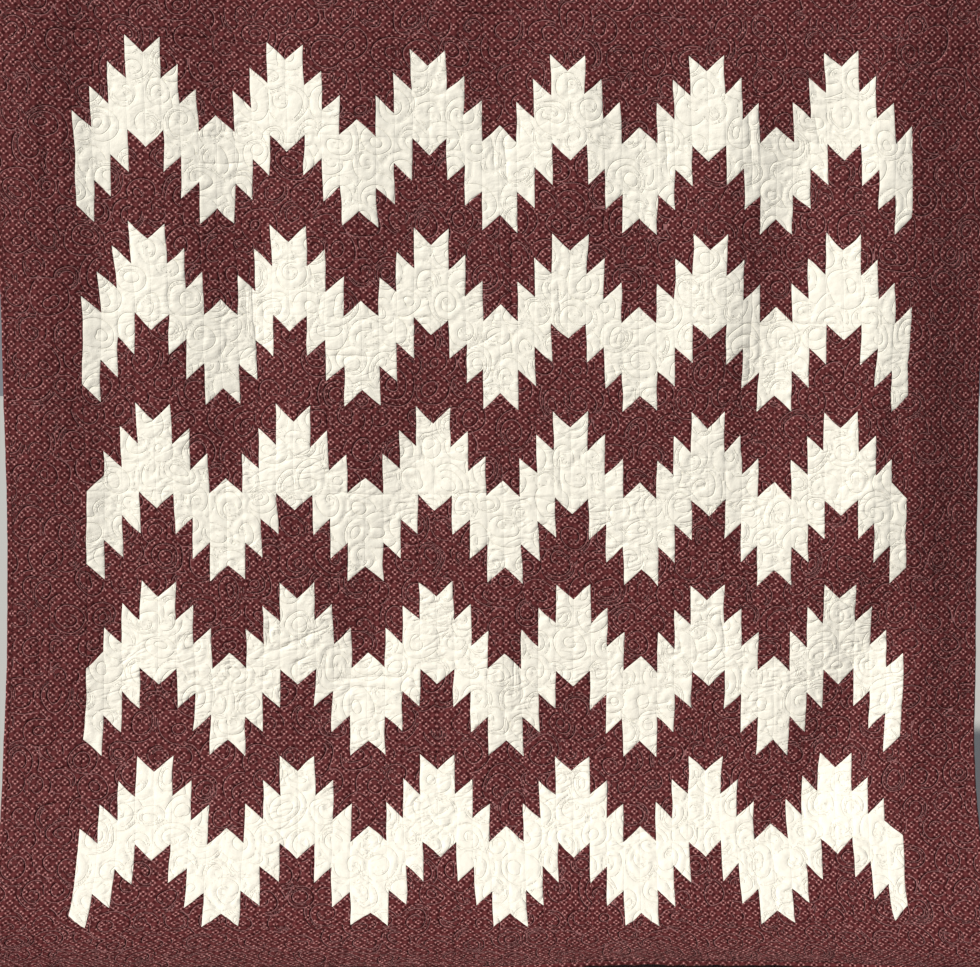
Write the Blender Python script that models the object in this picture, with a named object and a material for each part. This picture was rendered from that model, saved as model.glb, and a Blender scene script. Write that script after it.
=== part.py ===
"""A sawtooth zigzag quilt that hangs by its top edge, its lower end swept forward on the ground.

Metres, +Z up. The origin is the middle of the top edge. The printed face looks along -Y.
A place on the flat quilt is given by two lengths: across, from the middle, and down, from
the top edge. cloth_point bends the flat quilt into the shape in which it hangs.
"""

import functools
import math

import bmesh
import bpy
import numpy as np
from mathutils import Vector

# Sizes of the flat quilt
STRIP = 0.0251
STRIPS_ACROSS = 48
ROW = 0.1285
ROWS_DOWN = 10
BORDER = 0.117
BINDING = 0.008
CENTRE_HALF = 0.5 * STRIP * STRIPS_ACROSS
CENTRE_DOWN = ROW * ROWS_DOWN
HALF_WIDTH = CENTRE_HALF + BORDER
LENGTH = BORDER + CENTRE_DOWN + BORDER

# Sizes of the padded layers
THICKNESS = 0.0035
PUFF = 0.0026
PUFF_UNEVENNESS = 0.35
GAP = 0.0003
BINDING_PROUD = 0.0006
BINDING_SHOULDER = 0.0055
BINDING_ROUND = 0.0012

# Grid stations, all even, so that the plain back takes every second one
COLUMNS_CENTRE = 50
ROWS_CENTRE = 54
STATIONS_BORDER = 4
BACK_STEP = 2
SLOPE_STEP = 0.002

# How the cloth hangs, in millimetres, a row for each seam between rows of patches.
# mid_drop is the height of the middle, left_rise and right_rise are how much higher the
# ends of the pieced centre are, half is half its width, drift and bow move it sideways,
# and back is its distance behind the top edge.
HANG_COLUMNS = ("down", "mid_drop", "left_rise", "right_rise", "half", "drift", "bow", "back")
HANG_ROWS = (
    (0.0, 0, 32, 6, 601, 0, -12, 0),
    (117.0, -117, 30, 5, 601, 0, -12, 3),
    (245.5, -244, 20, -1, 604, 3, -10, 7),
    (374.0, -373, 15, -2, 604, 4, -8, 11),
    (502.5, -502, 12, -1, 602, 5, -7, 14),
    (631.0, -631, 10, 0, 601, 6, -8, 16),
    (759.5, -760, 7, 0, 600, 8, -9, 17),
    (888.0, -888, 4, 2, 600, 10, -12, 17),
    (1016.5, -1016, 1, 5, 600, 12, -15, 12),
    (1145.0, -1142, -2, 9, 600, 12, -20, -5),
    (1273.5, -1259, -5, 12, 602, 13, -24, -56),
    (1402.0, -1361, -5, 8, 609, 15, -26, -138),
    (1460.5, -1383, -1, 1, 616, 16, -26, -194),
    (1519.0, -1389, 0, 0, 622, 16, -26, -250),
)

# The cloth's uneven pull, in millimetres: sideways and upward, a row for each place down
# the quilt and a column for each place across
PULL_DOWN = (0.05, 0.24, 0.55, 0.86, 1.12, 1.28, 1.40, 1.50)
PULL_ACROSS = (-0.60, -0.45, -0.30, -0.15, 0.0, 0.15, 0.30, 0.45, 0.60)
PULL_SIDEWAYS_ROWS = (
    (-1, -2, -1, 0, 1, 1, 2, 2, 1),
    (-1, -2, -3, 0, 0, 1, 3, 1, 0),
    (-1, -3, -4, 0, -1, 0, 4, 1, 0),
    (-1, 0, -2, 0, 1, 2, 2, 2, 1),
    (-2, 1, -1, 0, -1, -1, 0, 1, -1),
    (4, 4, 3, 4, 2, -3, -7, -6, -4),
    (7, 7, 7, 8, 4, -7, -9, -8, -8),
    (6, 7, 7, 8, 4, -7, -9, -8, -7),
)
PULL_UPWARD_ROWS = (
    (-1, 1, 1, 1, 0, -1, -1, -1, -3),
    (-1, 2, 2, 2, -1, -2, -2, -1, -3),
    (0, 1, 2, 3, -1, -3, -3, -4, -3),
    (1, 1, 1, 2, 1, -3, -3, -3, -2),
    (3, 4, 4, 5, 3, -1, -1, -3, -1),
    (3, 4, 4, 5, 2, 0, -1, -2, 0),
    (4, 5, 5, 5, 2, 0, -1, 1, 2),
    (0, 0, 0, 0, 2, 8, 8, 6, 0),
)

# The right border curls back: how far its outer edge goes, by place down the quilt
CURL_ROWS = (
    (0.0, 0.022),
    (0.35, 0.028),
    (0.62, 0.036),
    (1.05, 0.028),
    (1.25, 0.014),
    (1.40, 0.0),
    (1.519, 0.0),
)
CURL_START = 0.35

# Main folds, as (across, down) of both ends, depth and half width in metres.
# A positive depth is a trough, and a negative one is a ridge towards the viewer.
FOLD_COLUMNS = ("across_top", "down_top", "across_low", "down_low", "depth", "width")
FOLDS = (
    (-0.372, 0.02, -0.372, 0.72, 0.010, 0.042),
    (-0.100, 0.62, -0.225, 1.05, 0.008, 0.038),
    (0.442, 0.22, 0.355, 0.81, 0.009, 0.038),
    (0.572, 0.10, 0.534, 0.88, -0.008, 0.032),
    (0.590, 0.90, 0.435, 1.27, 0.012, 0.042),
    (-0.563, 0.03, -0.563, 1.13, 0.006, 0.030),
    (0.123, 0.10, 0.116, 0.36, -0.006, 0.030),
    (0.331, 0.15, 0.308, 0.56, -0.007, 0.034),
    (0.000, 0.92, -0.032, 1.17, -0.006, 0.030),
    (0.007, 0.02, 0.003, 0.28, 0.005, 0.030),
    (-0.200, 0.03, -0.215, 0.40, -0.005, 0.040),
    (-0.660, 0.02, -0.668, 0.75, -0.006, 0.035),
)
FOLD_END = 0.12
FOLDS_FADE_FROM = 1.22
FOLDS_FADE_OVER = 0.16

# Colours of the cloths, as linear values
CREAM = (0.84, 0.82, 0.71)
WINE = (0.107, 0.034, 0.033)
CLOTH_ROUGHNESS = 0.92


def clear_scene():
    for obj in list(bpy.data.objects):
        bpy.data.objects.remove(obj, do_unlink=True)


@functools.lru_cache(maxsize=None)
def smooth_weights(knots, place):
    """How much each knot counts at a place, on a curve with the slope of the neighbours."""
    place = min(max(place, knots[0]), knots[-1])
    each = np.eye(len(knots))
    slopes = np.gradient(each, knots, axis=0)
    index = int(np.clip(np.searchsorted(knots, place) - 1, 0, len(knots) - 2))
    span = knots[index + 1] - knots[index]
    share = (place - knots[index]) / span
    rest = 1.0 - share
    start = each[index] * (1.0 + 2.0 * share) * rest * rest
    end = each[index + 1] * share * share * (3.0 - 2.0 * share)
    leave = slopes[index] * span * share * rest * rest
    arrive = slopes[index + 1] * span * share * share * rest
    return start + end + leave - arrive


HANG = np.array(HANG_ROWS) / 1000.0
HANG_KNOTS = tuple(HANG[:, 0])
CURL_KNOTS = tuple(down for down, curl in CURL_ROWS)
CURLS = np.array([curl for down, curl in CURL_ROWS])
PULL_SIDEWAYS = np.array(PULL_SIDEWAYS_ROWS) / 1000.0
PULL_UPWARD = np.array(PULL_UPWARD_ROWS) / 1000.0


def hang_at(down):
    """The row of the hanging table at this place down the quilt, by column name."""
    values = smooth_weights(HANG_KNOTS, down) @ HANG
    return dict(zip(HANG_COLUMNS, values))


def ease(share):
    share = min(max(share, 0.0), 1.0)
    return share * share * (3.0 - 2.0 * share)


def fold_depth(across, down):
    """How far the folds push the cloth back at this place."""
    total = 0.0
    for row in FOLDS:
        fold = dict(zip(FOLD_COLUMNS, row))
        run_across = fold["across_low"] - fold["across_top"]
        run_down = fold["down_low"] - fold["down_top"]
        length = math.hypot(run_across, run_down)
        from_across = across - fold["across_top"]
        from_down = down - fold["down_top"]
        along = (from_across * run_across + from_down * run_down) / length
        aside = (from_across * run_down - from_down * run_across) / length
        ends = ease(along / FOLD_END + 0.5) * ease((length - along) / FOLD_END + 0.5)
        total += fold["depth"] * ends * math.exp(-0.5 * (aside / fold["width"]) ** 2)
    return total * (1.0 - ease((down - FOLDS_FADE_FROM) / FOLDS_FADE_OVER))


def cloth_point(across, down):
    """The place in space of a point of the flat quilt's printed face."""
    hang = hang_at(down)
    inside = min(max(across, -CENTRE_HALF), CENTRE_HALF)
    share = inside / CENTRE_HALF
    whole_share = across / CENTRE_HALF
    outside = across - inside
    side = (hang["left_rise"] + hang["right_rise"]) / 2.0
    tilt = (hang["right_rise"] - hang["left_rise"]) / 2.0
    back = hang["back"] + fold_depth(across, down)
    if outside > 0.0:
        curl = float(smooth_weights(CURL_KNOTS, down) @ CURLS)
        turn = math.asin(curl / BORDER) * ease(outside / BORDER + CURL_START)
        back += outside * math.sin(turn)
        outside *= math.cos(turn)
    pull_across = smooth_weights(PULL_ACROSS, across)
    pull_down = smooth_weights(PULL_DOWN, down)
    place_x = hang["drift"] + hang["half"] * share + hang["bow"] * share * share + outside
    place_x += float(pull_down @ PULL_SIDEWAYS @ pull_across)
    place_z = hang["mid_drop"] + side * whole_share * whole_share + tilt * whole_share
    place_z += float(pull_down @ PULL_UPWARD @ pull_across)
    return Vector((place_x, back, place_z))


def back_normal(across, down):
    """The direction through the quilt, from its printed face to its back."""
    step = SLOPE_STEP
    along = cloth_point(across + step, down) - cloth_point(across - step, down)
    low = min(down + step, LENGTH)
    high = max(down - step, 0.0)
    fall = cloth_point(across, low) - cloth_point(across, high)
    return along.cross(fall).normalized()


def material(name, colour):
    made = bpy.data.materials.new(name)
    made.use_nodes = True
    shader = made.node_tree.nodes["Principled BSDF"]
    shader.inputs["Base Color"].default_value = (*colour, 1.0)
    shader.inputs["Roughness"].default_value = CLOTH_ROUGHNESS
    shader.inputs["Metallic"].default_value = 0.0
    return made


def stations(first, last, count):
    return [first + (last - first) * step / count for step in range(count + 1)]


def across_stations():
    left = stations(BINDING - HALF_WIDTH, -CENTRE_HALF, STATIONS_BORDER)
    middle = stations(-CENTRE_HALF, CENTRE_HALF, COLUMNS_CENTRE)
    right = stations(CENTRE_HALF, HALF_WIDTH - BINDING, STATIONS_BORDER)
    return left[:-1] + middle + right[1:]


def down_stations():
    top = stations(BINDING, BORDER, STATIONS_BORDER)
    middle = stations(BORDER, BORDER + CENTRE_DOWN, ROWS_CENTRE)
    bottom = stations(BORDER + CENTRE_DOWN, LENGTH - BINDING, STATIONS_BORDER)
    return top[:-1] + middle + bottom[1:]


def puff_height(column, row):
    """The quilting's puffs stand in staggered rows, two stations apart, each a little different."""
    high = column % 2 == 1 if row % 4 == 1 else column % 2 == 0
    if row % 2 == 0 or not high:
        return 0.0
    mood = math.sin(2.3 * column + 1.1 * row) * math.cos(0.9 * column - 1.7 * row)
    return PUFF * (1.0 + PUFF_UNEVENNESS * mood)


def build_object(name, points, faces, cloth, holder):
    mesh = bpy.data.meshes.new(name)
    mesh.from_pydata([tuple(point) for point in points], [], faces)
    shell = bmesh.new()
    shell.from_mesh(mesh)
    bmesh.ops.recalc_face_normals(shell, faces=shell.faces)
    bmesh.ops.triangulate(shell, faces=shell.faces)
    shell.to_mesh(mesh)
    shell.free()
    mesh.shade_smooth()
    mesh.set_sharp_from_angle(angle=math.radians(50.0))
    mesh.materials.append(cloth)
    made = bpy.data.objects.new(name, mesh)
    bpy.context.scene.collection.objects.link(made)
    made.parent = holder
    return made


def side_walls(front_edge, back_edge):
    """Faces between a fine front edge and a back edge that has every second point."""
    faces = []
    for index in range(len(back_edge) - 1):
        start = index * BACK_STEP
        fine = front_edge[start : start + BACK_STEP + 1]
        faces.append((fine[0], fine[1], back_edge[index]))
        faces.append((fine[1], back_edge[index + 1], back_edge[index]))
        faces.append((fine[1], fine[2], back_edge[index + 1]))
    return faces


def padded_panel(name, column_span, row_span, cloth, holder):
    """A closed panel of the padded layers between two columns and two rows of stations."""
    all_across = across_stations()
    all_down = down_stations()
    columns = list(range(column_span[0], column_span[1] + 1))
    rows = list(range(row_span[0], row_span[1] + 1))
    across = [all_across[column] for column in columns]
    down = [all_down[row] for row in rows]
    across[0] += 0.5 * GAP
    across[-1] -= 0.5 * GAP
    down[0] += 0.5 * GAP
    down[-1] -= 0.5 * GAP
    points = []
    front = {}
    back = {}
    for j, row in enumerate(rows):
        for i, column in enumerate(columns):
            on_rim = i in (0, len(columns) - 1) or j in (0, len(rows) - 1)
            base = cloth_point(across[i], down[j])
            normal = back_normal(across[i], down[j])
            height = 0.0 if on_rim else puff_height(column, row)
            front[i, j] = len(points)
            points.append(base - normal * height)
            if i % BACK_STEP == 0 and j % BACK_STEP == 0:
                back[i, j] = len(points)
                points.append(base + normal * THICKNESS)
    last_i = len(columns) - 1
    last_j = len(rows) - 1
    faces = []
    for j in range(last_j):
        for i in range(last_i):
            faces.append((front[i, j], front[i + 1, j], front[i + 1, j + 1], front[i, j + 1]))
    for j in range(0, last_j, BACK_STEP):
        for i in range(0, last_i, BACK_STEP):
            low = j + BACK_STEP
            right = i + BACK_STEP
            faces.append((back[i, j], back[i, low], back[right, low], back[right, j]))
    for j in (0, last_j):
        fine = [front[i, j] for i in range(last_i + 1)]
        coarse = [back[i, j] for i in range(0, last_i + 1, BACK_STEP)]
        faces += side_walls(fine, coarse)
    for i in (0, last_i):
        fine = [front[i, j] for j in range(last_j + 1)]
        coarse = [back[i, j] for j in range(0, last_j + 1, BACK_STEP)]
        faces += side_walls(fine, coarse)
    return build_object(name, points, faces, cloth, holder)


def binding_profile():
    """Section of the folded binding, as (outward, through the quilt), from its inner face."""
    outer = BINDING - GAP
    return (
        (0.0, -BINDING_PROUD),
        (BINDING_SHOULDER, -BINDING_PROUD),
        (outer, BINDING_ROUND),
        (outer, THICKNESS - BINDING_ROUND),
        (BINDING_SHOULDER, THICKNESS + BINDING_PROUD),
        (0.0, THICKNESS + BINDING_PROUD),
    )


def binding_place(side, along, outward):
    """The flat place of a point of the binding: where it is along its edge, and how far out."""
    if side == "top":
        return along, BINDING - GAP - outward
    if side == "bottom":
        return along, LENGTH - BINDING + GAP + outward
    if side == "left":
        return BINDING - GAP - HALF_WIDTH - outward, along
    return HALF_WIDTH - BINDING + GAP + outward, along


def binding_strip(name, side, cloth, holder):
    """A binding strip along one edge, its two ends cut as mitres."""
    upright = side in ("left", "right")
    alongs = down_stations() if upright else across_stations()
    alongs = alongs[1:-1]
    low_end = BINDING if upright else BINDING - HALF_WIDTH
    high_end = LENGTH - BINDING if upright else HALF_WIDTH - BINDING
    profile = binding_profile()
    sections = []
    for station in [None] + alongs + [None]:
        section = []
        for outward, through in profile:
            mitre = outward + 0.5 * GAP
            if station is not None:
                along = station
            elif not sections:
                along = low_end + GAP - mitre
            else:
                along = high_end - GAP + mitre
            across, down = binding_place(side, along, outward)
            point = cloth_point(across, down)
            section.append(point + back_normal(across, down) * through)
        sections.append(section)
    points = [point for section in sections for point in section]
    sides = len(profile)
    faces = []
    for index in range(len(sections) - 1):
        for corner in range(sides):
            following = (corner + 1) % sides
            low = index * sides
            high = low + sides
            faces.append((low + corner, low + following, high + following, high + corner))
    faces.append(tuple(range(sides)))
    last = (len(sections) - 1) * sides
    faces.append(tuple(last + corner for corner in reversed(range(sides))))
    return build_object(name, points, faces, cloth, holder)


def main():
    clear_scene()
    holder = bpy.data.objects.new("quilt", None)
    bpy.context.scene.collection.objects.link(holder)

    first = STATIONS_BORDER
    last_column = first + COLUMNS_CENTRE
    last_row = first + ROWS_CENTRE
    far_column = last_column + STATIONS_BORDER
    far_row = last_row + STATIONS_BORDER
    panels = (
        ("patchwork_centre", (first, last_column), (first, last_row), CREAM),
        ("border_top", (0, far_column), (0, first), WINE),
        ("border_bottom", (0, far_column), (last_row, far_row), WINE),
        ("border_left", (0, first), (first, last_row), WINE),
        ("border_right", (last_column, far_column), (first, last_row), WINE),
    )
    for name, column_span, row_span, colour in panels:
        padded_panel(name, column_span, row_span, material(name, colour), holder)
    for side in ("top", "bottom", "left", "right"):
        name = "binding_" + side
        binding_strip(name, side, material(name, WINE), holder)


main()
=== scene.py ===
"""Looks of the hanging zigzag quilt: pieced patches, swirl quilting, printed borders and binding.

Metres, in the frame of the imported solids. A place on the flat quilt is given by two
lengths, across from its middle and down from its top edge. HangingCloth bends the flat
quilt into the shape in which it hangs, as the solids do.
"""

from __future__ import annotations

import logging
import math
from dataclasses import dataclass
from enum import Enum

import bpy
import numpy as np
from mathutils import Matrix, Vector

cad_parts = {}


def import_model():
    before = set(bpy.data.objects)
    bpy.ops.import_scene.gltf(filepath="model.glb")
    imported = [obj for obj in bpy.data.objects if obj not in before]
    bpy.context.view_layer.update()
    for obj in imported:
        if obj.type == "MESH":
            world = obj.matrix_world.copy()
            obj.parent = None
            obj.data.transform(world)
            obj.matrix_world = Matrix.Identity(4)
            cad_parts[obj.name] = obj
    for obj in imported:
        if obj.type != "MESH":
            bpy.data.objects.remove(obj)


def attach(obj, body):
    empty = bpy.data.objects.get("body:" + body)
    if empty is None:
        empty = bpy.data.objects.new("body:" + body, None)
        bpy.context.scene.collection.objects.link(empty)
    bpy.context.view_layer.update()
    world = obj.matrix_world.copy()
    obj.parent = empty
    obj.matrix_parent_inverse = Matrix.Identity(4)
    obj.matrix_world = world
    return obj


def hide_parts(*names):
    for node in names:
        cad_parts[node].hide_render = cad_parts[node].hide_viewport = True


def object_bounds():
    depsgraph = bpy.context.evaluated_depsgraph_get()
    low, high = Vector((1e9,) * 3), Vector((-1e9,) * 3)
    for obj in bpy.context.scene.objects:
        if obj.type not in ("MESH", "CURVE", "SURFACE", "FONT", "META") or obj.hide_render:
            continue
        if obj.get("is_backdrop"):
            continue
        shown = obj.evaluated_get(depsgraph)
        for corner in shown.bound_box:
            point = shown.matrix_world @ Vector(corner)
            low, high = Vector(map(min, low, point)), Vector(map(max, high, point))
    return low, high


LOG = logging.getLogger("quilt")
BODY = "root"
SEED = 20
TURN = 2.0 * math.pi

Array = np.ndarray
Colour = tuple[float, float, float, float]
Socket = bpy.types.NodeSocket
Material = bpy.types.Material

# Sizes of the flat quilt, as in the solids
STRIP = 0.0251
STRIPS_ACROSS = 48
STRIPS_PER_PEAK = 8
ROW = 0.1285
ROWS_DOWN = 10
BORDER = 0.117
BINDING = 0.008
CENTRE_HALF = 0.5 * STRIP * STRIPS_ACROSS
HALF_WIDTH = CENTRE_HALF + BORDER
LENGTH = BORDER + ROW * ROWS_DOWN + BORDER
THICKNESS = 0.0035

# Cells of the fine grid
CELLS_PER_STRIP = 10
CELLS_PER_ROW = 55
CELLS_PER_STEP = 15
BORDER_CELLS_ACROSS = 44
BORDER_CELLS_DOWN = 46
BACK_STEP = 2

# A crease narrower than this is thin, and wavers
THIN_CREASE = 0.005
# How far it wavers sideways, how much more over the longer length, and the share of its depth
CREASE_WAVER = 0.0005
LONGER_WAVER = 1.6
DEPTH_WAVER = 0.22
# The lengths over which it wavers, two sideways and one in depth, and what sets it apart by place
CREASE_WAVES = (0.0047, 0.0125, 0.0069)
CREASE_PHASE = 90.0

# A distance that is beyond every stitch, seam and crease
FAR = 1.0


def eased(share: Array) -> Array:
    """A smooth step from 0 to 1."""
    share = np.clip(share, 0.0, 1.0)
    return share * share * (3.0 - 2.0 * share)


def smooth_weights(knots: tuple[float, ...], place: Array) -> Array:
    """How much each knot counts along a curve that has the slope of its neighbours.

    Args:
        knots: places along the curve, rising.
        place: where the curve is read.

    Returns:
        A row of weights for each place.
    """
    each = np.eye(len(knots))
    slopes = np.gradient(each, knots, axis=0)
    knot = np.array(knots)
    place = np.clip(place, knot[0], knot[-1])
    index = np.clip(np.searchsorted(knot, place) - 1, 0, len(knots) - 2)
    span = (knot[index + 1] - knot[index])[:, None]
    share = (place - knot[index])[:, None] / span
    rest = 1.0 - share
    start = each[index] * (1.0 + 2.0 * share) * rest * rest
    end = each[index + 1] * share * share * (3.0 - 2.0 * share)
    leave = slopes[index] * span * share * rest * rest
    arrive = slopes[index + 1] * span * share * share * rest
    return start + end + leave - arrive


def grid_quads(rows: int, columns: int) -> Array:
    """Faces over a grid of points that are numbered row by row.

    Args:
        rows: how many rows of points.
        columns: how many points in each.

    Returns:
        The four corners of each face.
    """
    row, column = np.meshgrid(np.arange(rows - 1), np.arange(columns - 1), indexing="ij")
    first = (row * columns + column).ravel()
    return np.stack([first, first + 1, first + columns + 1, first + columns], axis=-1)


def settle(piece: bpy.types.Object, node: str) -> None:
    """Says what the piece rides on, which solid it stands for.

    Args:
        piece: the new object.
        node: the solid's node.
    """
    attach(piece, BODY)
    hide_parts(node)
    LOG.info("%s: %d faces", piece.name, len(piece.data.polygons))


@dataclass(frozen=True)
class Waves:
    """A gentle uneven field, a sum of waves in many directions."""

    longest: float
    shortest: float
    count: int
    seed: int
    height: float = 1.0

    def at(self, places: Array) -> Array:
        """The field, about as high as its height.

        Args:
            places: rows of across and down.

        Returns:
            The field at each place.
        """
        chance = np.random.default_rng(self.seed)
        total = np.zeros(len(places))
        for _ in range(self.count):
            length = math.exp(chance.uniform(math.log(self.shortest), math.log(self.longest)))
            heading = chance.uniform(0.0, TURN)
            phase = chance.uniform(0.0, TURN)
            along = places[:, 0] * math.cos(heading) + places[:, 1] * math.sin(heading)
            total += np.sin(TURN * along / length + phase)
        return total / math.sqrt(0.5 * self.count) * self.height


@dataclass(frozen=True)
class Crease:
    """A soft trough, or a ridge where depth is negative, between two places of the flat quilt."""

    across_top: float
    down_top: float
    across_low: float
    down_low: float
    depth: float
    width: float

    @property
    def sharp(self) -> bool:
        """Whether it is a thin crease, which wavers, and no broad fold."""
        return self.width < THIN_CREASE

    def frame(self, across: Array, down: Array, end: float) -> tuple[Array, Array]:
        """Where places lie beside the crease.

        Args:
            across: lengths from the middle.
            down: lengths from the top edge.
            end: the length over which the crease fades out.

        Returns:
            The signed distance from its line, and its share at each place.
        """
        run_across = self.across_low - self.across_top
        run_down = self.down_low - self.down_top
        length = math.hypot(run_across, run_down)
        from_across = across - self.across_top
        from_down = down - self.down_top
        along = (from_across * run_across + from_down * run_down) / length
        aside = (from_across * run_down - from_down * run_across) / length
        share = eased(along / end + 0.5) * eased((length - along) / end + 0.5)
        if self.sharp:
            own = CREASE_PHASE * (self.across_top + self.down_top)
            short, long, deep = CREASE_WAVES
            waver = np.sin(along / short + own) + LONGER_WAVER * np.sin(along / long - own)
            aside = aside + CREASE_WAVER * waver
            share = share * (1.0 - DEPTH_WAVER + DEPTH_WAVER * np.sin(along / deep + 2.0 * own))
        return aside, share

    def push(self, across: Array, down: Array, end: float) -> Array:
        """How far the crease pushes the cloth back at each place."""
        aside, share = self.frame(across, down, end)
        return self.depth * share * np.exp(-0.5 * (aside / self.width) ** 2)


@dataclass
class HangingCloth:
    """The shape in which the cloth hangs: the solids' own folds, and finer creases of the scene."""

    # In millimetres: down, mid_drop, left_rise, right_rise, half, drift, bow, back
    hang_rows: tuple = (
        (0.0, 0, 32, 6, 601, 0, -12, 0),
        (117.0, -117, 30, 5, 601, 0, -12, 3),
        (245.5, -244, 20, -1, 604, 3, -10, 7),
        (374.0, -373, 15, -2, 604, 4, -8, 11),
        (502.5, -502, 12, -1, 602, 5, -7, 14),
        (631.0, -631, 10, 0, 601, 6, -8, 16),
        (759.5, -760, 7, 0, 600, 8, -9, 17),
        (888.0, -888, 4, 2, 600, 10, -12, 17),
        (1016.5, -1016, 1, 5, 600, 12, -15, 12),
        (1145.0, -1142, -2, 9, 600, 12, -20, -5),
        (1273.5, -1259, -5, 12, 602, 13, -24, -56),
        (1402.0, -1361, -5, 8, 609, 15, -26, -138),
        (1460.5, -1383, -1, 1, 616, 16, -26, -194),
        (1519.0, -1389, 0, 0, 622, 16, -26, -250),
    )
    curl_rows: tuple = (
        (0.0, 0.022),
        (0.35, 0.028),
        (0.62, 0.036),
        (1.05, 0.028),
        (1.25, 0.014),
        (1.40, 0.0),
        (1.519, 0.0),
    )
    curl_start: float = 0.35
    # The cloth's uneven pull in millimetres, by place down and across
    pull_down: tuple[float, ...] = (0.05, 0.24, 0.55, 0.86, 1.12, 1.28, 1.40, 1.50)
    pull_across: tuple[float, ...] = (-0.60, -0.45, -0.30, -0.15, 0.0, 0.15, 0.30, 0.45, 0.60)
    pull_sideways: tuple = (
        (-1, -2, -1, 0, 1, 1, 2, 2, 1),
        (-1, -2, -3, 0, 0, 1, 3, 1, 0),
        (-1, -3, -4, 0, -1, 0, 4, 1, 0),
        (-1, 0, -2, 0, 1, 2, 2, 2, 1),
        (-2, 1, -1, 0, -1, -1, 0, 1, -1),
        (4, 4, 3, 4, 2, -3, -7, -6, -4),
        (7, 7, 7, 8, 4, -7, -9, -8, -8),
        (6, 7, 7, 8, 4, -7, -9, -8, -7),
    )
    pull_upward: tuple = (
        (-1, 1, 1, 1, 0, -1, -1, -1, -3),
        (-1, 2, 2, 2, -1, -2, -2, -1, -3),
        (0, 1, 2, 3, -1, -3, -3, -4, -3),
        (1, 1, 1, 2, 1, -3, -3, -3, -2),
        (3, 4, 4, 5, 3, -1, -1, -3, -1),
        (3, 4, 4, 5, 2, 0, -1, -2, 0),
        (4, 5, 5, 5, 2, 0, -1, 1, 2),
        (0, 0, 0, 0, 2, 8, 8, 6, 0),
    )
    # The solids' folds, in millimetres: across and down of both ends, depth, width
    folds: tuple = (
        (-372, 20, -372, 720, 10, 42), (-100, 620, -225, 1050, 8, 38),
        (442, 220, 355, 810, 9, 38), (572, 100, 534, 880, -8, 32),
        (590, 900, 435, 1270, 12, 42), (-563, 30, -563, 1130, 6, 30),
        (123, 100, 116, 360, -6, 30), (331, 150, 308, 560, -7, 34),
        (0, 920, -32, 1170, -6, 30), (7, 20, 3, 280, 5, 30),
        (-200, 30, -215, 400, -5, 40), (-660, 20, -668, 750, -6, 35),
    )
    # Creases of the scene alone, laid out the same way
    creases: tuple = (
        (-357, 455, -350, 575, 1.6, 3.0), (-366, 464, -362, 530, 1.0, 2.6),
        (-339, 478, -341, 549, 0.9, 2.6), (-373, 566, -347, 549, 1.3, 2.6),
        (-338, 354, -339, 407, 2.6, 2.8), (17, 374, 16, 495, 2.4, 3.0),
        (-52, 548, -2, 520, 1.7, 2.6), (-47, 486, -27, 475, 1.9, 2.4),
        (-244, 560, -189, 560, 1.7, 2.4), (85, 452, 86, 488, 2.1, 2.6),
        (366, 452, 361, 588, 1.2, 3.2), (-424, 290, -357, 288, 1.4, 2.4),
        (-10, 242, -7, 283, 1.5, 2.6), (5, 237, 12, 301, 1.5, 2.6),
        (29, 208, 30, 238, 1.3, 2.4), (237, 222, 241, 282, 1.5, 2.8),
        (249, 215, 250, 243, 1.1, 2.4), (360, 204, 365, 309, 1.3, 3.2),
        (371, 208, 374, 280, -0.7, 2.8), (375, 98, 376, 181, 1.5, 3.0),
        (459, 206, 465, 246, 1.5, 2.8), (578, 632, 598, 722, 3.5, 11.0),
        (84, 693, 86, 752, 1.4, 2.8), (-117, 690, -114, 711, 1.6, 2.4),
        (-247, 756, -170, 762, 1.6, 2.4), (-77, 757, -16, 755, 1.7, 2.4),
        (50, 760, 112, 777, 1.5, 2.4), (127, 779, 180, 774, 1.5, 2.4),
        (56, 788, 107, 786, 1.3, 2.4), (366, 884, 369, 914, 2.4, 3.5),
        (-343, 939, -342, 975, 1.6, 2.8), (-353, 998, -255, 955, 1.7, 2.8),
        (-312, 1010, -275, 993, 1.5, 2.4), (-557, 1013, -522, 987, 1.9, 2.8),
        (-674, 980, -668, 1024, 2.4, 4.2), (-255, 1033, -154, 1030, 1.6, 2.6),
        (-230, 1045, -154, 1050, 1.2, 2.4), (12, 990, 14, 1045, 1.9, 2.8),
        (23, 1003, 22, 1040, 1.3, 2.4), (474, 895, 536, 933, 1.4, 2.8),
        (492, 945, 528, 1030, 2.2, 7.5), (572, 965, 597, 990, 2.4, 3.4),
        (321, 926, 327, 985, 1.5, 2.8), (432, 1038, 473, 1026, 1.5, 2.4),
        (449, 1110, 500, 1113, 2.2, 3.0), (125, 1150, 178, 1152, 1.9, 2.6),
        (-247, 1182, -223, 1180, 1.8, 2.6), (-255, 1194, -194, 1196, 2.2, 2.8),
        (-350, 1198, -341, 1226, 1.5, 2.6), (-672, 1167, -590, 1156, 2.1, 2.8),
        (-668, 1193, -585, 1184, 1.9, 2.6), (-673, 1218, -597, 1209, 2.1, 2.8),
        (-345, 300, -340, 560, 3.5, 20.0), (-62, 60, 11, 66, 2.2, 2.8),
        (35, 102, 73, 100, 1.8, 2.6), (-612, 113, -542, 114, 2.0, 2.8),
        (-452, 115, -410, 114, 2.6, 2.8), (-295, 112, -260, 113, 2.0, 2.8),
        (-702, 95, -660, 92, 2.2, 2.8), (-642, 210, -640, 340, 3.0, 7.0),
        (-628, 225, -626, 330, 1.6, 3.0),
    )
    crease_end: float = 0.026
    crease_reach: float = 0.0055
    crease_core: float = 1.3
    fold_end: float = 0.12
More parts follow.
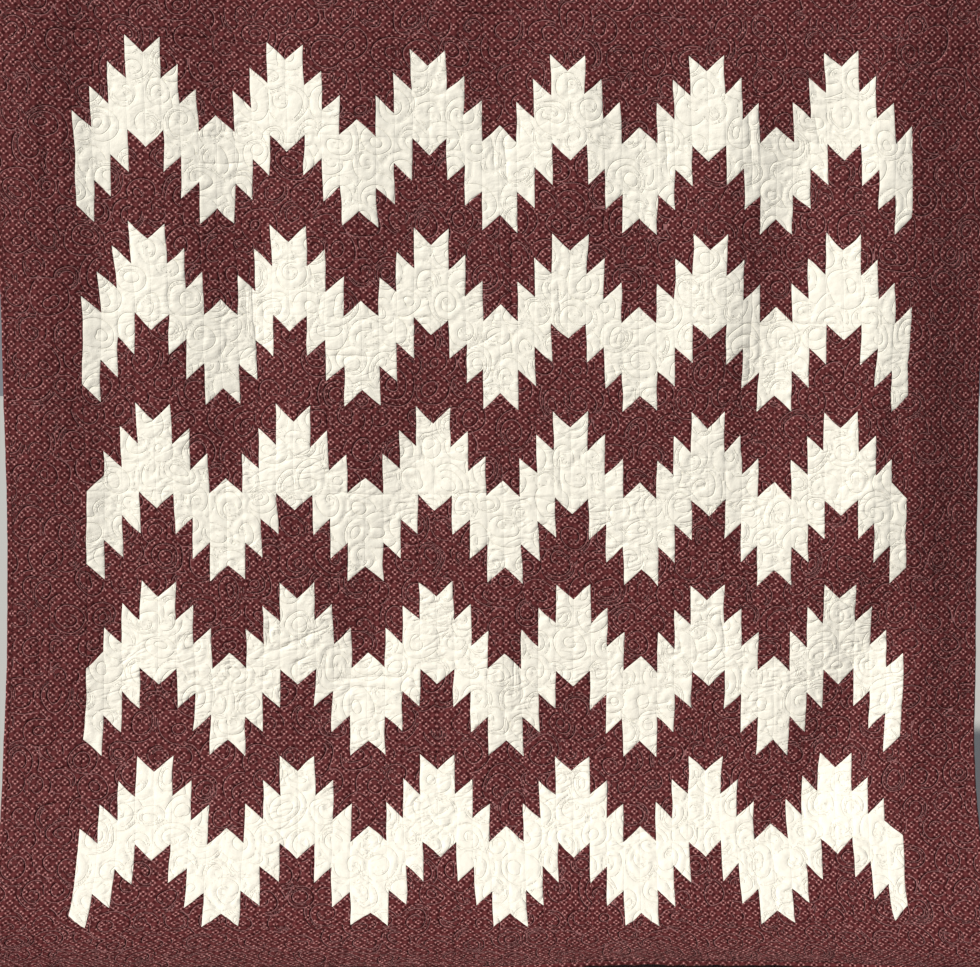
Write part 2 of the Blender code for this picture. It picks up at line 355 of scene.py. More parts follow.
    folds_fade_from: float = 1.22
    folds_fade_over: float = 0.16
    slope_step: float = 0.002

    def made(self, rows: tuple) -> list[Crease]:
        """The creases that a table in millimetres lists."""
        return [Crease(*(value / 1000.0 for value in row)) for row in rows]

    def pull(self, table: tuple, across: Array, down: Array) -> Array:
        """The cloth's uneven pull at each place, from a table in millimetres."""
        by_down = smooth_weights(self.pull_down, down) @ np.array(table)
        return (by_down * smooth_weights(self.pull_across, across)).sum(axis=1) / 1000.0

    def point(self, across: Array, down: Array) -> Array:
        """Places in space of points of the flat quilt's printed face.

        Args:
            across: lengths from the middle.
            down: lengths from the top edge.

        Returns:
            An array with a row of x, y and z for each point.
        """
        table = np.array(self.hang_rows) / 1000.0
        down = np.clip(down, 0.0, LENGTH)
        hang = smooth_weights(tuple(table[:, 0]), down) @ table
        drop, left, right, half, drift, bow, back = hang.T[1:]
        inside = np.clip(across, -CENTRE_HALF, CENTRE_HALF)
        share = inside / CENTRE_HALF
        whole_share = across / CENTRE_HALF
        outside = across - inside
        folds = sum(fold.push(across, down, self.fold_end) for fold in self.made(self.folds))
        back = back + folds * (1.0 - eased((down - self.folds_fade_from) / self.folds_fade_over))
        back = back + sum(crease.push(across, down, self.crease_end) for crease in self.made(self.creases))
        curls = np.array(self.curl_rows)
        curl = smooth_weights(tuple(curls[:, 0]), down) @ curls[:, 1]
        turn = np.arcsin(curl / BORDER) * eased(outside / BORDER + self.curl_start)
        turn = np.where(outside > 0.0, turn, 0.0)
        back = back + outside * np.sin(turn)
        sideways = self.pull(self.pull_sideways, across, down)
        upward = self.pull(self.pull_upward, across, down)
        x = drift + half * share + bow * share * share + outside * np.cos(turn) + sideways
        z = drop + 0.5 * (left + right) * whole_share**2 + 0.5 * (right - left) * whole_share + upward
        return np.stack([x, back, z], axis=-1)

    def sharp_lines(self, across: Array, down: Array) -> tuple[Array, Array]:
        """The nearest thin crease to each place.

        Args:
            across: lengths from the middle.
            down: lengths from the top edge.

        Returns:
            The signed distance from it, and how deep it is near its line.
        """
        off = np.full(len(across), FAR)
        depth = np.zeros(len(across))
        for crease in self.made(self.creases):
            if not crease.sharp:
                continue
            aside, share = crease.frame(across, down, self.crease_end)
            closer = (share > 0.0) & (np.abs(aside) < np.abs(off))
            off[closer] = aside[closer]
            depth[closer] = crease.depth * share[closer]
        return off, depth * np.clip(self.crease_core - np.abs(off) / self.crease_reach, 0.0, 1.0)

    def through(self, across: Array, down: Array) -> Array:
        """Directions through the quilt, from its printed face to its back.

        Args:
            across: lengths from the middle.
            down: lengths from the top edge.

        Returns:
            An array of unit rows.
        """
        step = self.slope_step
        along = self.point(across + step, down) - self.point(across - step, down)
        low = np.minimum(down + step, LENGTH)
        high = np.maximum(down - step, 0.0)
        fall = self.point(across, low) - self.point(across, high)
        normal = np.cross(along, fall)
        return normal / np.linalg.norm(normal, axis=-1, keepdims=True)


class Motif(Enum):
    """How the stitches run inside one round of the quilting, as turns of line for each turn round it."""

    SPIRAL = 1.0
    DOUBLE_SPIRAL = 2.0
    RINGS = 0.0


@dataclass(frozen=True)
class Swirl:
    """One round of the quilting: a spiral or nested rings, closed by a round outline."""

    across: float
    down: float
    radius: float
    spacing: float
    eye: float
    start: float
    hand: float
    motif: Motif
    off_middle: tuple[float, float]
    same_line: float = 0.001

    def lines(self, places: Array) -> tuple[Array, ...]:
        """The nearest stitch line of this round to each place.

        Args:
            places: rows of across and down.

        Returns:
            The signed distance from the line, the outward direction, the length along the line,
            and the distance from the next nearest line.
        """
        from_middle = places - np.array([self.across, self.down])
        whole = np.maximum(np.hypot(from_middle[:, 0], from_middle[:, 1]), 1e-6)
        lean = np.array(self.off_middle) * self.radius
        offset = from_middle - lean * np.clip(1.0 - whole / self.radius, 0.0, 1.0)[:, None]
        reach = np.maximum(np.hypot(offset[:, 0], offset[:, 1]), 1e-6)
        outward = offset / reach[:, None]
        uneven = np.where(whole < self.radius, outward @ lean / self.radius, 0.0)
        slope = outward + from_middle / whole[:, None] * uneven[:, None]
        steep = np.linalg.norm(slope, axis=-1)
        angle = np.arctan2(offset[:, 1], offset[:, 0]) * self.hand + self.start
        turns = (self.radius - reach) / self.spacing + self.motif.value * angle / TURN
        slant = self.motif.value * self.spacing / (TURN * reach)
        winding = -(turns - np.round(turns)) * self.spacing / np.hypot(1.0, slant) / steep
        rim = whole - self.radius
        core = (reach - self.eye) / steep
        signed = np.where(np.abs(winding) < np.abs(rim), winding, rim)
        signed = np.where(np.abs(core) < np.abs(signed), core, signed)
        signed = np.where(reach < self.eye, core, signed)
        every = np.stack([winding, rim, core])
        next_off = np.where(np.abs(every - signed) > self.same_line, np.abs(every), FAR).min(axis=0)
        run = angle * np.maximum(reach - signed, self.eye)
        return signed, slope / steep[:, None], run, next_off


@dataclass
class SwirlQuilting:
    """Allover quilting of overlapping rounds: each later round covers part of the earlier ones."""

    pitch_across: float = 0.047
    pitch_down: float = 0.041
    wander: float = 0.010
    radii: tuple[float, float] = (0.016, 0.030)
    spacings: tuple[float, float] = (0.0092, 0.0128)
    leans: tuple[float, float] = (0.16, 0.52)
    eyes: tuple[float, float] = (0.0028, 0.0044)
    blobs: tuple[float, float] = (0.0070, 0.0115)
    blob_share: float = 0.30
    double_every: int = 4
    bend: float = 0.0024
    bends: tuple[Waves, Waves] = (Waves(0.13, 0.05, 12, SEED + 1), Waves(0.13, 0.05, 12, SEED + 2))
    margin: float = 0.045
    beside: float = 0.014

    def swirls(self) -> list[Swirl]:
        """All rounds in the order in which they were laid, on a staggered and wandering layout."""
        chance = np.random.default_rng(SEED)
        made = []
        count_down = int((LENGTH + 2 * self.margin) / self.pitch_down) + 1
        count_across = int(2 * (HALF_WIDTH + self.margin) / self.pitch_across) + 1
        for row in range(count_down):
            for column in range(count_across):
                across = (column + 0.5 * (row % 2)) * self.pitch_across - HALF_WIDTH - self.margin
                down = row * self.pitch_down - self.margin
                made.append(self.swirl(across, down, chance))
        return [made[index] for index in chance.permutation(len(made))]

    def swirl(self, across: float, down: float, chance: np.random.Generator) -> Swirl:
        """One round, drawn by chance.

        Args:
            across: its place in the layout.
            down: the same, downwards.
            chance: where the draws come from.

        Returns:
            The round.
        """
        move_across, move_down = chance.uniform(-self.wander, self.wander, 2)
        radius, spacing = chance.uniform(*self.radii), chance.uniform(*self.spacings)
        blob = chance.random() < self.blob_share
        eye = chance.uniform(*(self.blobs if blob else self.eyes))
        if blob:
            motif = Motif.RINGS
            spacing = (radius - eye) / max(1, round((radius - eye) / spacing))
        else:
            motif = Motif.DOUBLE_SPIRAL if chance.integers(self.double_every) == 0 else Motif.SPIRAL
        start = chance.uniform(0.0, TURN)
        hand = 1.0 if chance.random() < 0.5 else -1.0
        lean, heading = chance.uniform(*self.leans), chance.uniform(0.0, TURN)
        off_middle = (lean * math.cos(heading), lean * math.sin(heading))
        place = (across + move_across, down + move_down)
        return Swirl(*place, radius, spacing, eye, start, hand, motif, off_middle)

    def lines(self, places: Array) -> tuple[Array, ...]:
        """The nearest stitch line of the whole quilting to each place.

        Args:
            places: rows of across and down.

        Returns:
            The same as one round's lines.
        """
        count = len(places)
        places = places + self.bend * np.stack([waves.at(places) for waves in self.bends], axis=-1)
        signed = np.full(count, 0.5 * self.spacings[1])
        outward = np.zeros((count, 2))
        outward[:, 0] = 1.0
        run = np.zeros(count)
        next_off = np.full(count, FAR)
        gap = np.full(count, FAR)
        gap_outward = outward.copy()
        for swirl in self.swirls():
            reach = swirl.radius + self.beside
            by_across = np.abs(places[:, 0] - swirl.across) < reach
            near = np.flatnonzero(by_across & (np.abs(places[:, 1] - swirl.down) < reach))
            if len(near) == 0:
                continue
            own, own_outward, own_run, own_next = swirl.lines(places[near])
            rim = np.hypot(places[near, 0] - swirl.across, places[near, 1] - swirl.down) - swirl.radius
            inside = rim < 0.0
            covered = near[inside]
            signed[covered], outward[covered], run[covered] = own[inside], own_outward[inside], own_run[inside]
            next_off[covered] = own_next[inside]
            gap[covered] = FAR
            closer = ~inside & (rim < gap[near])
            beside = near[closer]
            gap[beside] = rim[closer]
            gap_outward[beside] = own_outward[closer]
        by_gap = gap < np.abs(signed)
        next_off = np.where(by_gap, np.abs(signed), np.minimum(next_off, gap))
        signed = np.where(by_gap, gap, signed)
        outward = np.where(by_gap[:, None], gap_outward, outward)
        return signed, outward, run, next_off


class Cloth(Enum):
    """Which cloth a cell of the pieced top is cut from."""

    CREAM = 0
    WINE = 1


@dataclass
class ZigzagPattern:
    """The seams between the two cloths, cell by cell of the grid."""

    # These end strips are sewn the other way up: band counted from the top, and side
    turned_ends: tuple[tuple[int, str], ...] = ((2, "left"), (3, "left"), (2, "right"), (4, "right"))
    columns: int = CELLS_PER_STRIP * STRIPS_ACROSS
    rows: int = CELLS_PER_ROW * ROWS_DOWN

    def seam_heights(self, row: int) -> tuple[Array, Array]:
        """Height of the toothed seam above the row's lower seam, in cells.

        Args:
            row: the row of patches, from the top.

        Returns:
            Its height at the left and the right side of each column of cells.
        """
        column = np.arange(self.columns)
        period = CELLS_PER_STRIP * STRIPS_PER_PEAK
        middle = period // 2
        place = column % period
        right_of_peak = place >= middle
        near = np.where(right_of_peak, place - middle, middle - 1 - place)
        within = near % CELLS_PER_STRIP
        low = CELLS_PER_STEP * (3 - near // CELLS_PER_STRIP) + within
        high = low + 1
        band, upper = divmod(row, 2)
        for turned_band, side in self.turned_ends:
            if turned_band == band and upper == 0:
                end = slice(0, CELLS_PER_STRIP) if side == "left" else slice(-CELLS_PER_STRIP, None)
                flipped = CELLS_PER_STRIP - within[end]
                low[end], high[end] = flipped, flipped - 1
        left = np.where(right_of_peak, low, high)
        right = np.where(right_of_peak, high, low)
        return left, right


@dataclass
class QuiltGrid:
    """The fine grid of the quilt's face: flat places, relief of the quilting, and places in space."""

    cloth: HangingCloth
    quilting: SwirlQuilting
    pattern: ZigzagPattern
    # Errors of sewing, sideways and downwards, which fade out at the quilt's own edges
    sideways: tuple[Waves, Waves] = (
        Waves(0.26, 0.09, 10, SEED + 1, 0.0009),
        Waves(0.07, 0.03, 10, SEED + 2, 0.00035),
    )
    downwards: tuple[Waves, Waves] = (
        Waves(0.26, 0.09, 10, SEED + 3, 0.0009),
        Waves(0.07, 0.03, 10, SEED + 4, 0.00045),
    )
    error_fade: float = 0.03
    snap: float = 0.42
    crowding: float = 0.0042
    crowded_gap: float = 0.01
    loft: float = 0.0013
    loft_reach: float = 0.0027
    fullness: Waves = Waves(0.30, 0.05, 14, SEED + 5, 0.16)
    seam_depth: float = 0.00055
    seam_width: float = 0.0011
    crinkle: Waves = Waves(0.030, 0.010, 22, SEED + 6, 0.00021)
    crinkle_reach: float = 0.006
    crinkle_floor: float = 0.4
    # Level crimps, in patches, with more of them lower down
    crimp: Waves = Waves(0.016, 0.0075, 18, SEED + 8, 0.00027)
    crimp_stretch: float = 0.38
    crimp_patches: Waves = Waves(0.20, 0.06, 8, SEED + 9, 0.75)
    crimp_share: float = 0.45
    crimps_above: float = 0.30
    crimps_from: float = 0.50
    crimps_over: float = 0.45
    pucker: Waves = Waves(0.12, 0.03, 8, SEED + 7, 0.00030)
    pucker_pitch: float = 0.0085
    pucker_reach: float = 0.0035

    def build(self) -> None:
        """Fills in the flat places, the relief and the places in space of every grid point."""
        left = np.linspace(BINDING - HALF_WIDTH, -CENTRE_HALF, BORDER_CELLS_ACROSS + 1)
        middle = np.linspace(-CENTRE_HALF, CENTRE_HALF, self.pattern.columns + 1)
        top = np.linspace(BINDING, BORDER, BORDER_CELLS_DOWN + 1)
        centre = np.linspace(BORDER, LENGTH - BORDER, self.pattern.rows + 1)
        across = np.concatenate([left[:-1], middle, -left[::-1][1:]])
        down = np.concatenate([top[:-1], centre, (LENGTH - top[::-1])[1:]])
        self.columns, self.rows = len(across), len(down)
        flat_down, flat_across = np.meshgrid(down, across, indexing="ij")
        places = np.stack([flat_across.ravel(), flat_down.ravel()], axis=-1)
        uneven = self.unevenness(places)
        places += uneven
        signed, outward, run, next_off = self.quilting.lines(places)
        cell = STRIP / CELLS_PER_STRIP
        on_line = self.free_points().ravel() & (np.abs(signed) < self.snap * cell)
        places[on_line] -= outward[on_line] * signed[on_line, None]
        signed = np.where(on_line, 0.0, signed)
        distance = np.abs(signed)
        seam = np.minimum(self.seam_distance(places - uneven), cell)
        across, down = places.T
        crease_off, crease_depth = self.cloth.sharp_lines(across, down)
        self.flat = places
        self.relief = self.relief_of(places, distance, run, seam)
        self.normal = self.cloth.through(across, down)
        self.base = self.cloth.point(across, down)
        self.front = self.base - self.normal * self.relief[:, None]
        # What the finishes read at each point
        self.notes = {
            "stitch": signed,
            "stitch_gap": distance + self.crowded_gap * (distance + next_off < self.crowding),
            "stitch_run": run,
            "crease_off": crease_off,
            "crease_depth": crease_depth,
            "seam": seam,
        }
        LOG.info("grid: %d by %d points", self.columns, self.rows)

    def free_points(self) -> Array:
        """Grid points that may move onto a stitch line, which those on a seam or an edge may not."""
        free = np.ones((self.rows, self.columns), bool)
        first_row, first_column = BORDER_CELLS_DOWN, BORDER_CELLS_ACROSS
        last_row = first_row + self.pattern.rows
        last_column = first_column + self.pattern.columns
        free[[0, first_row, last_row, -1], :] = False
        free[:, [0, first_column, last_column, -1]] = False
        free[first_row : last_row + 1, first_column : last_column + 1 : CELLS_PER_STRIP] = False
        for row in range(ROWS_DOWN):
            left, right = self.pattern.seam_heights(row)
            bottom = first_row + CELLS_PER_ROW * (row + 1)
            column = first_column + np.arange(self.pattern.columns)
            free[bottom - left, column] = False
            free[bottom - right, column + 1] = False
        return free

    def unevenness(self, places: Array) -> Array:
        """Small errors of sewing, none at the quilt's own edges.

        Args:
            places: rows of across and down.

        Returns:
            How far each place is off, across and down.
        """
        inner = np.minimum(HALF_WIDTH - BINDING - np.abs(places[:, 0]), places[:, 1] - BINDING)
        inner = np.minimum(inner, LENGTH - BINDING - places[:, 1])
        errors = [sum(waves.at(places) for waves in both) for both in (self.sideways, self.downwards)]
        return np.stack(errors, axis=-1) * eased(inner / self.error_fade)[:, None]

    def seam_distance(self, places: Array) -> Array:
        """Distance from each place to the nearest seam of the pieced centre.

        Args:
            places: rows of across and down, as sewn without error.

        Returns:
            The distances, and FAR where there is no seam.
        """
        from_top = places[:, 1] - BORDER
        inside_down = (from_top > 0.0) & (from_top < ROW * ROWS_DOWN)
        strip_place = (places[:, 0] + CENTRE_HALF) / STRIP
        row_place = from_top / ROW
        to_strip = np.abs(strip_place - np.round(strip_place)) * STRIP
        to_row = np.abs(row_place - np.round(row_place)) * ROW
        strip = np.clip(np.floor(strip_place), 0, STRIPS_ACROSS - 1)
        peak = STRIPS_PER_PEAK * np.floor(strip / STRIPS_PER_PEAK) + 0.5 * STRIPS_PER_PEAK
        step = np.floor(np.abs(strip + 0.5 - peak))
        within = np.abs(strip_place - peak) - step
        height = (np.ceil(row_place) - row_place) * CELLS_PER_ROW / CELLS_PER_STRIP
        tooth = CELLS_PER_STEP / CELLS_PER_STRIP * (3.0 - step) + within
        to_tooth = np.abs(height - tooth) * STRIP * math.sqrt(0.5)
        pieced = np.minimum(np.minimum(to_strip, to_row), to_tooth)
        pieced = np.where((np.abs(places[:, 0]) < CENTRE_HALF) & inside_down, pieced, FAR)
        edge = np.where(inside_down, np.abs(np.abs(places[:, 0]) - CENTRE_HALF), FAR)
        ends = np.minimum(np.abs(from_top), np.abs(from_top - ROW * ROWS_DOWN))
        return np.minimum(np.minimum(pieced, edge), ends)

    def relief_of(self, places: Array, distance: Array, run: Array, seam: Array) -> Array:
        """Height of the face above the stitched-down level.

        Args:
            places: rows of across and down.
            distance: how far each place is from its stitch line.
            run: the length along that line.
            seam: how far each place is from a seam.

        Returns:
            The heights.
        """
        height = self.loft * (1.0 + self.fullness.at(places)) * (1.0 - np.exp(-distance / self.loft_reach))
        height -= self.seam_depth * np.exp(-((seam / self.seam_width) ** 2))
        height += self.crinkle.at(places) * (self.crinkle_floor + np.exp(-distance / self.crinkle_reach))
        patchy = np.clip(self.crimp_share + self.crimp_patches.at(places), 0.0, 1.0)
        lower = eased((places[:, 1] - self.crimps_from) / self.crimps_over)
        lower = self.crimps_above + (1.0 - self.crimps_above) * lower
        height += self.crimp.at(places * np.array([self.crimp_stretch, 1.0])) * patchy * lower
        ripple = np.sin(TURN * run / self.pucker_pitch) * self.pucker.at(places)
        height += ripple * np.exp(-distance / self.pucker_reach)
        return height


@dataclass(frozen=True)
class GridFaces:
    """Faces over the grid's points, and the patch of cloth that each is cut from."""

    quads: Array
    quad_patches: Array
    triangles: Array
    triangle_patches: Array

    @staticmethod
    def of_quads(quads: Array) -> GridFaces:
        """Faces with four corners only, all cut from one patch."""
        return GridFaces(quads, np.zeros(len(quads), int), np.zeros((0, 3), int), np.zeros(0, int))

    @staticmethod
    def joined(parts: list[GridFaces]) -> GridFaces:
        """The faces of several sets as one."""
        kinds = ("quads", "quad_patches", "triangles", "triangle_patches")
        return GridFaces(*(np.concatenate([getattr(part, kind) for part in parts]) for kind in kinds))

    @property
    def corners(self) -> Array:
        """The points at all corners, those of the quads first."""
        return np.concatenate([self.quads.ravel(), self.triangles.ravel()])

    def area(self, flat: Array) -> float:
        """The area of the faces where the quilt lies flat.

        Args:
            flat: the flat place of every point.

        Returns:
            The area in square metres.
        """
        total = 0.0
        for corners in (self.quads, self.triangles):
            across, down = flat[corners, 0], flat[corners, 1]
            next_across, next_down = np.roll(across, -1, axis=1), np.roll(down, -1, axis=1)
            total += 0.5 * float(np.abs((across * next_down - next_across * down).sum(axis=1)).sum())
        return total


@dataclass
class ClothMesher:
    """Makes objects of cloth from shared points, each with its print's layout and its stitch lines."""

    flat: Array
    points: Array
    notes: dict[str, Array]
    print_shift: float = 0.0011
    print_turn: float = 0.006

    @staticmethod
    def far_notes(count: int) -> dict[str, Array]:
        """What the finishes read on cloth that has no stitch, seam or crease."""
        names = ("stitch", "stitch_gap", "stitch_run", "off_edge", "crease_off", "seam")
        return {"crease_depth": np.zeros(count)} | {name: np.full(count, FAR) for name in names}

    def make(self, name: str, faces: GridFaces, finish: Material, seed: int) -> bpy.types.Object:
        """A new object of the given faces.

        Args:
            name: the piece's name.
            faces: its faces over the shared points.
            finish: its material.
            seed: fixes how each patch was laid on the print.

        Returns:
            The object, linked to the scene.
        """
        used, corners = np.unique(faces.corners, return_inverse=True)
        counts = np.concatenate([np.full(len(faces.quads), 4), np.full(len(faces.triangles), 3)])
        starts = np.concatenate([[0], np.cumsum(counts)[:-1]])
        mesh = bpy.data.meshes.new(name)
        mesh.vertices.add(len(used))
        mesh.vertices.foreach_set("co", self.points[used].astype(np.float32).ravel())
        mesh.loops.add(len(corners))
        mesh.loops.foreach_set("vertex_index", corners.astype(np.int32).ravel())
        mesh.polygons.add(len(counts))
        mesh.polygons.foreach_set("loop_start", starts.astype(np.int32))
        mesh.update(calc_edges=True)
        mesh.shade_smooth()
        patches = np.concatenate([faces.quad_patches, faces.triangle_patches])
        self.lay_print(mesh, faces.corners, np.repeat(patches, counts), seed)
        for note, values in self.notes.items():
            self.keep(mesh, note, values[used])
        tones = np.random.default_rng(seed + 1).normal(0.0, 1.0, int(patches.max()) + 1)
        self.keep(mesh, "patch_tone", tones[patches], "FACE")
        mesh.materials.append(finish)
        made = bpy.data.objects.new(name, mesh)
        bpy.context.scene.collection.objects.link(made)
        return made

    def lay_print(self, mesh: bpy.types.Mesh, points: Array, patches: Array, seed: int) -> None:
        """Lays the print on the mesh in metres, shifted and turned a little from patch to patch.

        Args:
            mesh: the new mesh.
            points: the shared point at each corner.
            patches: the patch of cloth at each corner.
            seed: fixes the shifts and turns.
        """
        chance = np.random.default_rng(seed)
        count = int(patches.max()) + 1
        shift = chance.normal(0.0, self.print_shift, (count, 2))[patches]
        turn = chance.normal(0.0, self.print_turn, count)[patches]
        across, rise = self.flat[points, 0], -self.flat[points, 1]
        along = across * np.cos(turn) - rise * np.sin(turn)
        up = across * np.sin(turn) + rise * np.cos(turn)
        places = np.stack([along, up], axis=-1) + shift
        mesh.uv_layers.new(name="print").data.foreach_set("uv", places.astype(np.float32).ravel())

    @staticmethod
    def keep(mesh: bpy.types.Mesh, name: str, values: Array, domain: str = "POINT") -> None:
        """Keeps a number for each point or face of the mesh."""
        kept = mesh.attributes.new(name=name, type="FLOAT", domain=domain)
        kept.data.foreach_set("value", values.astype(np.float32))


@dataclass(frozen=True)
class Number:
    """A number that a shader works out at each point of the surface, for use in sums."""

    bench: ShaderBench
    socket: Socket

    def __add__(self, other: object) -> Number:
        """The sum with another number."""
        return self.bench.math("ADD", self, other)

    def __sub__(self, other: object) -> Number:
        """The difference from another number."""
        return self.bench.math("SUBTRACT", self, other)

    def __mul__(self, other: object) -> Number:
        """The product with another number."""
        return self.bench.math("MULTIPLY", self, other)

    def __truediv__(self, other: object) -> Number:
        """The share of another number."""
        return self.bench.math("DIVIDE", self, other)

    def __abs__(self) -> Number:
        """The number without its sign."""
        return self.bench.math("ABSOLUTE", self)


@dataclass(frozen=True)
class ShaderBench:
    """Adds shader nodes to one material and links them."""

    material: Material

    @classmethod
    def named(cls, name: str) -> ShaderBench:
        """A bench with a new and empty material."""
        material = bpy.data.materials.new(name)
        material.use_nodes = True
        material.node_tree.nodes.clear()
        return cls(material)

    def put(self, socket: Socket, value: object) -> None:
        """Links a socket to another, or sets its value.

        Args:
            socket: the input.
            value: a number of the shader, a socket or a plain value.
        """
        value = value.socket if isinstance(value, Number) else value
        if isinstance(value, Socket):
            self.material.node_tree.links.new(value, socket)
        else:
            socket.default_value = value

    def node(self, kind: str, sockets: dict | None = None, **settings: object) -> bpy.types.Node:
        """A new node.

        Args:
            kind: the node's type, without its ShaderNode.
            sockets: values or links for its inputs, by name or number.
            settings: its own settings.

        Returns:
            The node.
        """
        made = self.material.node_tree.nodes.new(f"ShaderNode{kind}")
        for name, value in settings.items():
            setattr(made, name, value)
        for name, value in (sockets or {}).items():
            self.put(made.inputs[name], value)
        return made

    def math(self, operation: str, *values: object) -> Number:
        """The result of a sum on numbers or sockets."""
        return Number(self, self.node("Math", dict(enumerate(values)), operation=operation).outputs[0])

    def ramp(self, value: object, start: float, end: float) -> Number:
        """A smooth step of the value, from 0 at start to 1 at end."""
        sockets = {"Value": value, "From Min": start, "From Max": end}
        return Number(self, self.node("MapRange", sockets, interpolation_type="SMOOTHSTEP").outputs["Result"])

    def mix(self, share: object, first: object, second: object) -> Socket:
        """A colour between two, by the share of the second."""
        sockets = {"Factor": share, 6: first, 7: second}
        return self.node("Mix", sockets, data_type="RGBA").outputs[2]

    def noise(self, place: object, grain: float, detail: float = 2.0) -> Number:
        """Noise with that many grains to the metre."""
        sockets = {"Vector": place, "Scale": grain, "Detail": detail}
        return Number(self, self.node("TexNoise", sockets).outputs["Fac"])

    def patches(self, place: object, grain: float, start: float, end: float) -> Number:
        """1 in soft patches and 0 between them: noise that is cut off at start and end."""
        return self.ramp(self.noise(place, grain, 1.0), start, end)

    def note(self, name: str) -> Number:
        """A number kept on the mesh."""
        return Number(self, self.node("Attribute", attribute_name=name).outputs["Fac"])

    def parts(self, place: Socket) -> tuple[Number, ...]:
        """The three lengths of a place."""
        return tuple(Number(self, socket) for socket in self.node("SeparateXYZ", {"Vector": place}).outputs)


